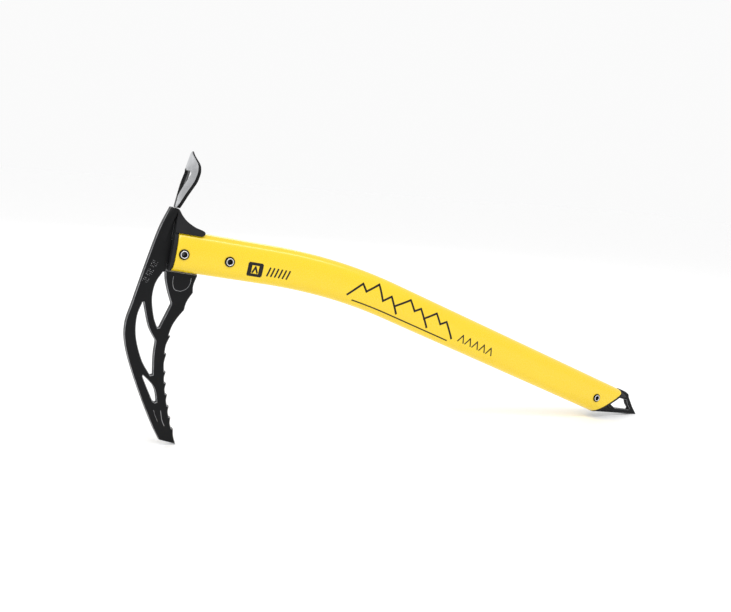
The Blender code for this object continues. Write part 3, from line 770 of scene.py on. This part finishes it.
def make_thumb_rest():
    """Collar between head and shaft, with the wing over the shaft's top."""
    front = -GAP - COLLAR_LENGTH
    rest = swept_along_shaft("thumb_collar", front, -GAP, 0.0)
    skirt = TOP - 0.0022
    side = outline([Vector((front, CROWN_TOP - 0.0025)), above(-2.6, 14.4), above(-1.4, 13.4)],
                   [above(-1.4, 13.4), above(0.6, 10.6), above(3.4, 7.8), above(7.2, 5.4), above(11.6, 3.5),
                    above(16.6, 2.3), above(18.5, 1.2), above(18.6, -0.4), above(17.6, -1.6)],
                   [Vector((0.0166, skirt)), Vector((front, skirt))])
    wing = flat_plate("wing", [side], 0.0082)
    for vertex in wing.data.vertices:
        rise = max(0.0, vertex.co.z - TOP) / (CROWN_TOP - TOP)
        vertex.co.y *= 1 - 0.45 * min(rise, 1.0)
    boolean(rest, wing, "UNION")
    boolean(rest, swept_along_shaft("saddle", -GAP, 0.05, -GAP))
    boolean(rest, box("tang_slot", (-0.06, -PLATE_HALF - GAP, FRONT_RIVET[1] - TANG_HEIGHT / 2 - GAP),
                      (0.03, PLATE_HALF + GAP, FRONT_RIVET[1] + TANG_HEIGHT / 2 + GAP)))
    moulded(rest, 0.00028, 3)
    return finish_piece(rest, black_nylon, "thumb_rest", slot="black_plastic", sharp_degrees=60)


# ------------------------------------------------------------------ shaft

def beyond_cut(name, lip):
    """Everything past the oblique cut, moved out by lip."""
    face = cut_face(lip)
    far = SHAFT_LENGTH + 0.12
    loop = face + [Vector((face[-1].x, TOP + REACH)), Vector((far, TOP + REACH)),
                   Vector((far, UNDERSIDE - REACH))]
    return flat_plate(name, [loop], REACH, tail=True)


def spike_rivet_point():
    return tail_point(SHAFT_LENGTH - SPIKE_RIVET_BACK, SPIKE_RIVET_V)


def make_shaft():
    """Bent lacquered tube, cut square at the head and obliquely at the spike."""
    tube = swept_along_shaft("shaft_tube", 0.0, SWEEP_END, 0.0)
    boolean(tube, swept_along_shaft("bore", -0.01, SWEEP_END + 0.01, SHAFT_WALL, spacing=0.01))
    boolean(tube, beyond_cut("end_cut", 0.0))
    for x, z in (FRONT_RIVET, REAR_RIVET, spike_rivet_point()):
        boolean(tube, rod("rivet_hole", x, z, RIVET_HOLE_RADIUS))
    add_bevel(tube, 0.00035, 3, 42)
    return finish_piece(tube, lacquer, "shaft", slot="yellow_paint", sharp_degrees=40)


# ------------------------------------------------------------------ spike

def on_cut(v, lip):
    return Vector((height_to_x(cut_face(lip)[:-1], v), v))


def spike_outline():
    """Side view of the spike in the tail frame, counted from the back of its tang."""
    lip = PLUG_LIP + GAP
    half_tang = SPIKE_TANG_HALF
    back = SHAFT_LENGTH - SPIKE_TANG_LENGTH
    heel = UNDERSIDE + 0.0004
    crest = TOP + 0.0006
    corner = [Vector((TIP_U - 0.0172, TOP - 0.0028)), Vector((TIP_U - 0.0190, TOP - 0.0006)),
              Vector((TIP_U - 0.0240, crest))]
    shoulder = [point for point in cut_face(lip)[:-1] if half_tang < point.y < crest]
    shoulder.append(on_cut(crest, lip))
    return [Vector((back, -half_tang)), on_cut(-half_tang, lip), on_cut(heel, lip),
            Vector((TIP_U, -0.0002)), Vector((TIP_U, 0.0002)), Vector((TIP_U - 0.0079, 0.0050)),
            *smooth_run(corner), *reversed(shoulder), on_cut(half_tang, lip), Vector((back, half_tang))]


def spike_windows():
    """The carabiner window and the small slot behind its strut, in the tail frame."""
    bar_foot = Vector((TIP_U - 0.0282, -0.0033))

    def on_bar(u):
        return Vector((u, bar_foot.y + 0.229 * (u - bar_foot.x)))

    lip = PLUG_LIP + GAP + 0.0005
    end = on_bar(TIP_U - 0.0108)
    window = [on_cut(-0.0004, lip), bar_foot, end, end + Vector((0.0002, 0.0017)),
              Vector((TIP_U - 0.0152, 0.0050)), Vector((TIP_U - 0.0184, 0.0086)), on_cut(0.0066, lip)]
    slot = [on_cut(-0.0028, lip), on_bar(TIP_U - 0.0463), on_bar(TIP_U - 0.0341)]
    return [window, slot]


def make_spike():
    """Steel spike: tang in the plug, carabiner window and the bar that runs to the tip."""
    hole = circle(SHAFT_LENGTH - SPIKE_RIVET_BACK, SPIKE_RIVET_V, RIVET_HOLE_RADIUS)
    loops = [spike_outline(), *spike_windows(), hole]
    spike = rounded_plate("spike_plate", loops, PLATE_HALF, SPIKE_BEVEL, tail=True)
    finish_piece(spike, forged_black, "spike", slot="black_steel", sharp_degrees=40)
    flat_sides(spike)
    spike.data.materials.append(painted_highlight)
    # Rim faces get the painted highlight: lighter grey standing in for light on the rounded rims.
    for face in spike.data.polygons:
        if 0.15 < abs(face.normal.y) < 0.97:
            face.material_index = 1
    return spike


def plug_nose(name):
    """The cheek over the spike's upper edge, from the lip down to the plate's thickness."""
    sections = [(-0.0104, 1.0, -0.0080, -0.0004), (-0.0050, 0.95, -0.0076, -0.0004),
                (0.0, 0.85, -0.0072, -0.0004), (0.0050, 0.71, -0.0068, -0.0006),
                (0.0095, 0.54, -0.0060, -0.0014), (0.0125, 0.41, -0.0050, -0.0030)]
    lip_u = on_cut(TOP - 0.0070, PLUG_LIP).x
    rings = []
    for u, width, low, high in sections:
        half = width * 0.0082
        ring = [(half * 0.8, low), (-half * 0.8, low)]
        for i in range(25):
            angle = math.pi * i / 24
            rise = 0.25 + 0.75 * math.sin(angle) ** 0.8
            ring.append((-half * math.cos(angle), low + (high - low) * rise))
        points = []
        for y, v in ring:
            x, z = tail_point(lip_u + u, TOP + v)
            points.append(Vector((x, y, z)))
        rings.append(points)
    return loft(name, rings)


def make_spike_plug():
    """Moulded plug round the spike's tang, with a lip over the tube's cut end."""
    start = SHAFT_LENGTH - 0.026
    plug = swept_along_shaft("end_plug", start, SWEEP_END, 0.0)
    boolean(plug, beyond_cut("lip_face", PLUG_LIP))
    boolean(plug, plug_nose("nose"), "UNION")
    back = SHAFT_LENGTH - 0.12
    before = cut_face(GAP)[:-1] + [Vector((back, TOP + GAP)), Vector((back, UNDERSIDE - REACH))]
    boolean(plug, flat_plate("lip_back", [before], REACH, tail=True))
    core = swept_along_shaft("core", start, SWEEP_END, SHAFT_WALL + GAP)
    boolean(core, beyond_cut("core_face", PLUG_LIP / 2))
    boolean(plug, core, "UNION")
    half_tang = SPIKE_TANG_HALF + GAP
    tang_back = SHAFT_LENGTH - SPIKE_TANG_LENGTH - GAP
    face = cut_face(PLUG_LIP - PLUG_SEAT)[:-1]
    upper = [point for point in face if point.y > half_tang]
    far = SWEEP_END + REACH
    loop = [Vector((tang_back, -half_tang)), on_cut(-half_tang, PLUG_LIP - PLUG_SEAT), face[0],
            Vector((far, UNDERSIDE - REACH)), Vector((far, TOP + REACH)), Vector((upper[-1].x, TOP + REACH)),
            *reversed(upper), on_cut(half_tang, PLUG_LIP - PLUG_SEAT), Vector((tang_back, half_tang))]
    boolean(plug, flat_plate("room", [loop], PLATE_HALF + GAP, tail=True))
    moulded(plug, 0.0003, 3)
    return finish_piece(plug, black_nylon, "spike_plug", slot="black_plastic", sharp_degrees=60)


# --------------------------------------------- rivets, washers and dots

class Tree:
    """A geometry node tree with named number inputs."""

    def __init__(self, name, inputs):
        self.tree = bpy.data.node_groups.new(name, "GeometryNodeTree")
        self.tree.interface.new_socket("Geometry", in_out="INPUT", socket_type="NodeSocketGeometry")
        for title, value in inputs.items():
            kind = "NodeSocketInt" if isinstance(value, int) else "NodeSocketFloat"
            socket = self.tree.interface.new_socket(title, in_out="INPUT", socket_type=kind)
            socket.default_value = value
        self.tree.interface.new_socket("Geometry", in_out="OUTPUT", socket_type="NodeSocketGeometry")
        self.inputs = self.add("NodeGroupInput")
        self.output = self.add("NodeGroupOutput")

    def add(self, kind, **settings):
        node = self.tree.nodes.new(kind)
        for key, value in settings.items():
            setattr(node, key, value)
        return node

    def link(self, source, target):
        self.tree.links.new(source, target)

    def input(self, title):
        return self.inputs.outputs[title]

    def maths(self, operation, first, second):
        node = self.add("ShaderNodeMath", operation=operation)
        for socket, value in zip(node.inputs, (first, second)):
            if isinstance(value, (int, float)):
                socket.default_value = value
            else:
                self.link(value, socket)
        return node.outputs[0]

    def finish(self, geometry, material):
        real = self.add("GeometryNodeRealizeInstances")
        self.link(geometry, real.inputs[0])
        finish = self.add("GeometryNodeSetMaterial")
        finish.inputs["Material"].default_value = material
        self.link(real.outputs[0], finish.inputs["Geometry"])
        self.link(finish.outputs["Geometry"], self.output.inputs[0])


def grown_from_points(name, points, tree, values):
    """Run a node tree on a mesh of loose points and keep the plain mesh it makes."""
    mesh = bpy.data.meshes.new(name)
    mesh.from_pydata(points, [], [])
    obj = bpy.data.objects.new(name, mesh)
    bpy.context.scene.collection.objects.link(obj)
    modifier = obj.modifiers.new("grow", "NODES")
    modifier.node_group = tree.tree
    for item in tree.tree.interface.items_tree:
        if item.item_type == "SOCKET" and item.in_out == "INPUT" and item.name in values:
            modifier[item.identifier] = values[item.name]
    return bake_modifiers(obj)


def ring_nodes(tree, inner, outer, height, lift, roundness, segments=48):
    """A flat ring about Z with rounded edges: radii, height and lift may be sockets."""
    path = tree.add("GeometryNodeCurvePrimitiveCircle")
    path.inputs["Resolution"].default_value = segments
    middle = tree.maths("MULTIPLY", tree.maths("ADD", inner, outer), 0.5)
    tree.link(middle, path.inputs["Radius"])
    section = tree.add("GeometryNodeCurvePrimitiveQuadrilateral")
    tree.link(tree.maths("SUBTRACT", outer, inner), section.inputs["Width"])
    tree.link(height, section.inputs["Height"])
    fillet = tree.add("GeometryNodeFilletCurve")
    poly = "POLY"
    if hasattr(fillet, "mode"):
        fillet.mode = poly
    fillet.inputs["Radius"].default_value = roundness
    if "Count" in fillet.inputs:
        fillet.inputs["Count"].default_value = 4
    tree.link(section.outputs[0], fillet.inputs["Curve"])
    mesh = tree.add("GeometryNodeCurveToMesh")
    tree.link(path.outputs["Curve"], mesh.inputs["Curve"])
    tree.link(fillet.outputs["Curve"], mesh.inputs["Profile Curve"])
    move = tree.add("GeometryNodeTransform")
    tree.link(mesh.outputs[0], move.inputs["Geometry"])
    shift = tree.add("ShaderNodeCombineXYZ")
    if isinstance(lift, (int, float)):
        shift.inputs["Z"].default_value = lift
    else:
        tree.link(lift, shift.inputs["Z"])
    tree.link(shift.outputs[0], move.inputs["Translation"])
    return move.outputs["Geometry"]


def instances_on_points(tree, shape):
    place = tree.add("GeometryNodeInstanceOnPoints")
    tree.link(tree.input("Geometry"), place.inputs["Points"])
    tree.link(shape, place.inputs["Instance"])
    place.inputs["Rotation"].default_value = (math.pi / 2, 0, 0)
    return place


RIVETS = {"head_front": FRONT_RIVET, "head_rear": REAR_RIVET, "spike": tuple(spike_rivet_point())}
SEAT = SHAFT_WIDTH / 2 + 0.0001
WASHER = 0.0005
FLANGE = 0.0007


def make_rivets():
    """Tubular rivets with a rolled flange at each end, their bores' inner walls painted black as shade."""
    sizes = {"Bore Radius": 0.0021, "Shank Radius": 0.0024, "Flange Radius": 0.0028,
             "Flange Height": FLANGE, "Grip": 2 * (SEAT + WASHER + 0.0001)}
    tree = Tree("tubular rivet", sizes)
    half = tree.maths("MULTIPLY", tree.input("Grip"), 0.5)
    top = tree.maths("ADD", half, tree.maths("MULTIPLY", tree.input("Flange Height"), 0.5))
    join = tree.add("GeometryNodeJoinGeometry")
    tree.link(ring_nodes(tree, tree.input("Bore Radius"), tree.input("Shank Radius"),
                         tree.maths("ADD", tree.input("Grip"), tree.input("Flange Height")), 0.0, 0.0001),
              join.inputs[0])
    for sign in (1, -1):
        tree.link(ring_nodes(tree, tree.input("Bore Radius"), tree.input("Flange Radius"),
                             tree.input("Flange Height"), tree.maths("MULTIPLY", top, sign), 0.00034),
                  join.inputs[0])
    place = instances_on_points(tree, join.outputs[0])
    tree.finish(place.outputs[0], rivet_bright)
    rivets = grown_from_points("tube_rivets", [(x, 0, z) for x, z in RIVETS.values()], tree, sizes)
    finish_piece(rivets, rivet_bright, *(f"{name}_rivet" for name in RIVETS),
                 slot="rivet_steel", sharp_degrees=50)
    rivets.data.materials.append(forged_black)
    # Painted shade: the bore's inner wall takes the black steel finish, standing in for the shade inside the
    # hollow rivet.
    for face in rivets.data.polygons:
        here = STAND.inverted() @ face.center
        nearest = min((math.hypot(here.x - x, here.z - z) for x, z in RIVETS.values()))
        if nearest < 0.00214 and abs(here.y) < SEAT:
            face.material_index = 1
    return rivets


def make_washers():
    """A black washer under each rivet flange."""
    sizes = {"Hole Radius": RIVET_HOLE_RADIUS, "Outer Radius": 0.0038, "Thickness": WASHER}
    tree = Tree("washer", sizes)
    ring = ring_nodes(tree, tree.input("Hole Radius"), tree.input("Outer Radius"),
                      tree.input("Thickness"), 0.0, 0.00015)
    place = instances_on_points(tree, ring)
    tree.finish(place.outputs[0], forged_black)
    offset = SEAT + WASHER / 2
    points = [(x, side * offset, z) for x, z in RIVETS.values() for side in (-1, 1)]
    washers = grown_from_points("washers", points, tree, sizes)
    names = [f"{name}_washer_{side}" for name in RIVETS for side in ("near", "far")]
    return finish_piece(washers, forged_black, *names, slot="black_steel", sharp_degrees=50)


def make_spacers():
    """The two grey packings beside the tang keep their CAD shape."""
    for name in ("tang_spacer_left", "tang_spacer_right"):
        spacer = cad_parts[name]
        spacer.data.materials.clear()
        spacer.data.materials.append(grey_nylon)


# ---------------------------------------------------------------- graphics

def on_near_side(u, v, lift):
    """A point of the shaft's near side at length u and height v, lifted off its skin."""
    share = min(abs(v) / (SHAFT_HEIGHT / 2), 1.0)
    half = SHAFT_WIDTH / 2 * (1 - share ** SHAFT_SQUARENESS) ** (1 / SHAFT_SQUARENESS)
    x, z = shaft_point(u, v)
    return Vector((x, -half - lift, z))


def rim(rows):
    """The outer points of a grid, in order round it."""
    return (rows[0] + [row[-1] for row in rows[1:]] + rows[-1][-2::-1]
            + [row[0] for row in rows[-2:0:-1]])


def ink_quad_strip(bm, left, right, lift=0.00004, across=3):
    """A thin closed strip of ink between two lines of (u, v) points."""
    def grid(height):
        return [[bm.verts.new(on_near_side(*a.lerp(b, k / across), height)) for k in range(across + 1)]
                for a, b in zip(left, right)]

    upper, lower = grid(lift), grid(-0.00008)
    for rows, flip in ((upper, False), (lower, True)):
        for low, high in zip(rows, rows[1:]):
            for k in range(across):
                corners = (low[k], low[k + 1], high[k + 1], high[k])
                bm.faces.new(corners[::-1] if flip else corners)
    rim_up, rim_low = rim(upper), rim(lower)
    for i, corner in enumerate(rim_up):
        j = (i + 1) % len(rim_up)
        bm.faces.new((corner, rim_low[i], rim_low[j], rim_up[j]))


def ink_stroke(bm, points, width):
    """A pen stroke with square ends along straight runs of (u, v) points in millimetres."""
    points = [Vector(point) * MM for point in points]
    for a, b in zip(points, points[1:]):
        along = (b - a).normalized()
        side = Vector((-along.y, along.x)) * width / 2
        a, b = a - along * width * 0.42, b + along * width * 0.42
        steps = max(1, round((b - a).length / (1.5 * MM)))
        line = [a.lerp(b, i / steps) for i in range(steps + 1)]
        ink_quad_strip(bm, [p - side for p in line], [p + side for p in line])


def plate_stroke(bm, points, width):
    """A fine raised bright line on the head plate's near side, through (x, z) points."""
    points = smooth_run(points, 0.0006)
    sunk, raised = -PLATE_HALF + 0.0001, -PLATE_HALF - 0.00003
    sides = []
    for before, here, after in zip(points[:1] + points[:-1], points, points[1:] + points[-1:]):
        along = (after - before).normalized()
        across = Vector((-along.y, along.x)) * width / 2
        sides.append((here - across, here + across))
    rings = []
    for left, right in sides:
        rings.append([bm.verts.new((p.x, y, p.y)) for p, y in
                      ((left, sunk), (right, sunk), (right, raised), (left, raised))])
    bridge(bm, rings)
    bm.faces.new(rings[0][::-1])
    bm.faces.new(rings[-1])


def make_head_marks():
    """Forging marks on the near side in the painted highlight grey: a U on the heel, and near the tip two
    bright lines that are painted highlights along a milled flute's edges.
    """
    bm = bmesh.new()
    plate_stroke(bm, [below(2.6, -3.8), below(2.9, -9.0), below(5.0, -13.2), below(9.5, -14.0)], 0.00035)
    plate_stroke(bm, [below(9.5, -14.0), below(13.4, -11.6), below(15.4, -7.6), below(15.6, -3.4)], 0.00035)
    plate_stroke(bm, [below(10.6, -103.5), below(11.6, -107.0), below(13.0, -111.0), below(15.3, -115.0)],
                 0.00045)
    plate_stroke(bm, [below(5.4, -103.5), below(7.2, -107.5), below(9.8, -112.0)], 0.0002)
    marks = to_mesh_object("head_marks", bm)
    return finish_piece(marks, painted_highlight, slot="black_steel", sharp_degrees=30)


def make_stamped_dots():
    """A field of small raised dots stamped beside the head's back edge."""
    sizes = {"Dot Radius": 0.00034, "Dot Height": 0.00010, "Seed": 7}
    tree = Tree("stamped dots", sizes)
    dot = tree.add("GeometryNodeMeshIcoSphere")
    dot.inputs["Subdivisions"].default_value = 2
    tree.link(tree.input("Dot Radius"), dot.inputs["Radius"])
    place = tree.add("GeometryNodeInstanceOnPoints")
    tree.link(tree.input("Geometry"), place.inputs["Points"])
    tree.link(dot.outputs["Mesh"], place.inputs["Instance"])
    size = tree.add("FunctionNodeRandomValue", data_type="FLOAT")
    size.inputs["Min"].default_value = 0.55
    size.inputs["Max"].default_value = 1.1
    tree.link(tree.input("Seed"), size.inputs["Seed"])
    scale = tree.add("ShaderNodeCombineXYZ")
    flat = tree.maths("DIVIDE", tree.input("Dot Height"), tree.input("Dot Radius"))
    tree.link(size.outputs["Value"], scale.inputs["X"])
    tree.link(flat, scale.inputs["Y"])
    tree.link(size.outputs["Value"], scale.inputs["Z"])
    tree.link(scale.outputs[0], place.inputs["Scale"])
    # The dots are coloured in the painted highlight grey, lighter than the black plate.
    tree.finish(place.outputs[0], painted_highlight)
    top = below(-13.6, 5.4)
    down = (below(-19.0, -11.0) - top).normalized()
    across = Vector((-down.y, down.x))
    points = []
    for row in range(13):
        for column in range(4):
            if (row + 2 * column) % 5 == 4 or row in (4, 9):
                continue
            spot = top + down * 1.35 * MM * row + across * 1.15 * MM * column
            points.append((spot.x, -PLATE_HALF, spot.y))
    dots = grown_from_points("stamped_dots", points, tree, sizes)
    return finish_piece(dots, painted_highlight, slot="black_steel", sharp_degrees=60)


def make_graphics():
    """Plain printed marks: a badge with bars near the head and a ridge line past the bend."""
    bm = bmesh.new()
    for low, high, left, right in ((-9.6, -7.4, 54.5, 65.5), (-1.2, 1.0, 54.5, 65.5)):
        ink_stroke(bm, [(left + 1, (low + high) / 2), (right - 1, (low + high) / 2)], (high - low) * MM)
    for low, high in ((54.0, 57.2), (62.8, 66.0)):
        ink_stroke(bm, [((low + high) / 2, -7.5), ((low + high) / 2, -1.1)], (high - low) * MM)
    ink_stroke(bm, [(58.2, -6.4), (60.0, -2.4)], 0.0014)
    ink_stroke(bm, [(60.0, -2.4), (61.8, -6.4)], 0.0014)
    for i in range(6):
        u = 70.0 + 3.2 * i
        ink_stroke(bm, [(u, -7.4), (u + 1.6, -1.4)], 0.0013)
    ridge = [(140, -7), (150, 5), (155, 0), (164, 9), (172, -2), (178, 4), (188, -7)]
    second = [(184, -2), (196, 8), (203, 1), (208, 5), (220, -7)]
    third = [(214, -1.5), (224, 7), (231, 0), (236, 4), (247, -7)]
    for line in (ridge, second, third):
        ink_stroke(bm, line, 0.0017)
    ink_stroke(bm, [(146, -10.2), (244, -10.2)], 0.0010)
    for i in range(5):
        u = 254.0 + 8.0 * i
        ink_stroke(bm, [(u, -6.5), (u + 3.0, -0.5), (u + 6.0, -6.5)], 0.0011)
    marks = to_mesh_object("shaft_graphics", bm)
    return finish_piece(marks, ink, slot="yellow_paint", sharp_degrees=20)


# ------------------------------------------------------------------- stage

def area_light(name, place, aim, size, power):
    data = bpy.data.lights.new(name, "AREA")
    data.shape = "RECTANGLE"
    data.size, data.size_y = size
    data.energy = power
    light = bpy.data.objects.new(name, data)
    light.location = place
    light.rotation_euler = (Vector(aim) - Vector(place)).to_track_quat("-Z", "Y").to_euler()
    bpy.context.scene.collection.objects.link(light)


def make_stage():
    bm = bmesh.new()
    bmesh.ops.create_grid(bm, x_segments=1, y_segments=1, size=6)
    floor = to_mesh_object("studio_floor", bm, recalc=False)
    floor.data.materials.append(pale_floor())
    world = bpy.data.worlds.new("studio")
    world.use_nodes = True
    background = world.node_tree.nodes["Background"]
    background.inputs["Color"].default_value = (1, 1, 1, 1)
    background.inputs["Strength"].default_value = 0.96
    bpy.context.scene.world = world
    bpy.context.scene.view_settings.view_transform = "Standard"
    middle = (0, 0, 0.1)
    area_light("key", (-0.5, -0.9, 1.3), middle, (0.9, 0.6), 3.5)
    area_light("strip_above", (0.1, -0.5, 0.9), middle, (1.0, 0.12), 2.5)
    area_light("back", (0.2, 1.2, 0.9), middle, (0.9, 0.6), 3)


def make_camera():
    """A camera a little right of square to the pick, slightly above the axe."""
    data = bpy.data.cameras.new("camera")
    data.sensor_width = 36
    data.lens = 42.35
    camera = bpy.data.objects.new("camera", data)
    azimuth, elevation, roll = math.radians(-26.758), math.radians(9.177), math.radians(4.943)
    forward = Vector((-math.sin(azimuth) * math.cos(elevation), math.cos(azimuth) * math.cos(elevation),
                      -math.sin(elevation)))
    turn = forward.to_track_quat("-Z", "Y").to_matrix()
    turn = turn @ Matrix.Rotation(roll, 3, "Z")
    camera.matrix_world = Matrix.Translation((-0.36526, -0.61110, 0.21611)) @ turn.to_4x4()
    bpy.context.scene.collection.objects.link(camera)
    bpy.context.scene.camera = camera


# ---------------------------------------------------------------- assembly

forged_black = forged_black_steel()
painted_highlight = painted_highlight_steel()
bare_edge = bare_edge_steel()
ground_adze = ground_adze_steel()
lacquer = yellow_lacquer()
black_nylon = moulded_black()
grey_nylon = moulded_black("moulded_grey", base=(0.10, 0.10, 0.105))
rivet_bright = polished_rivet_steel()
ink = printed_ink()

make_camera()
make_stage()
make_head_plate()
make_palm_rest()
make_adze()
make_thumb_rest()
make_spacers()
make_shaft()
make_spike()
make_spike_plug()
make_rivets()
make_washers()
make_head_marks()
make_stamped_dots()
make_graphics()
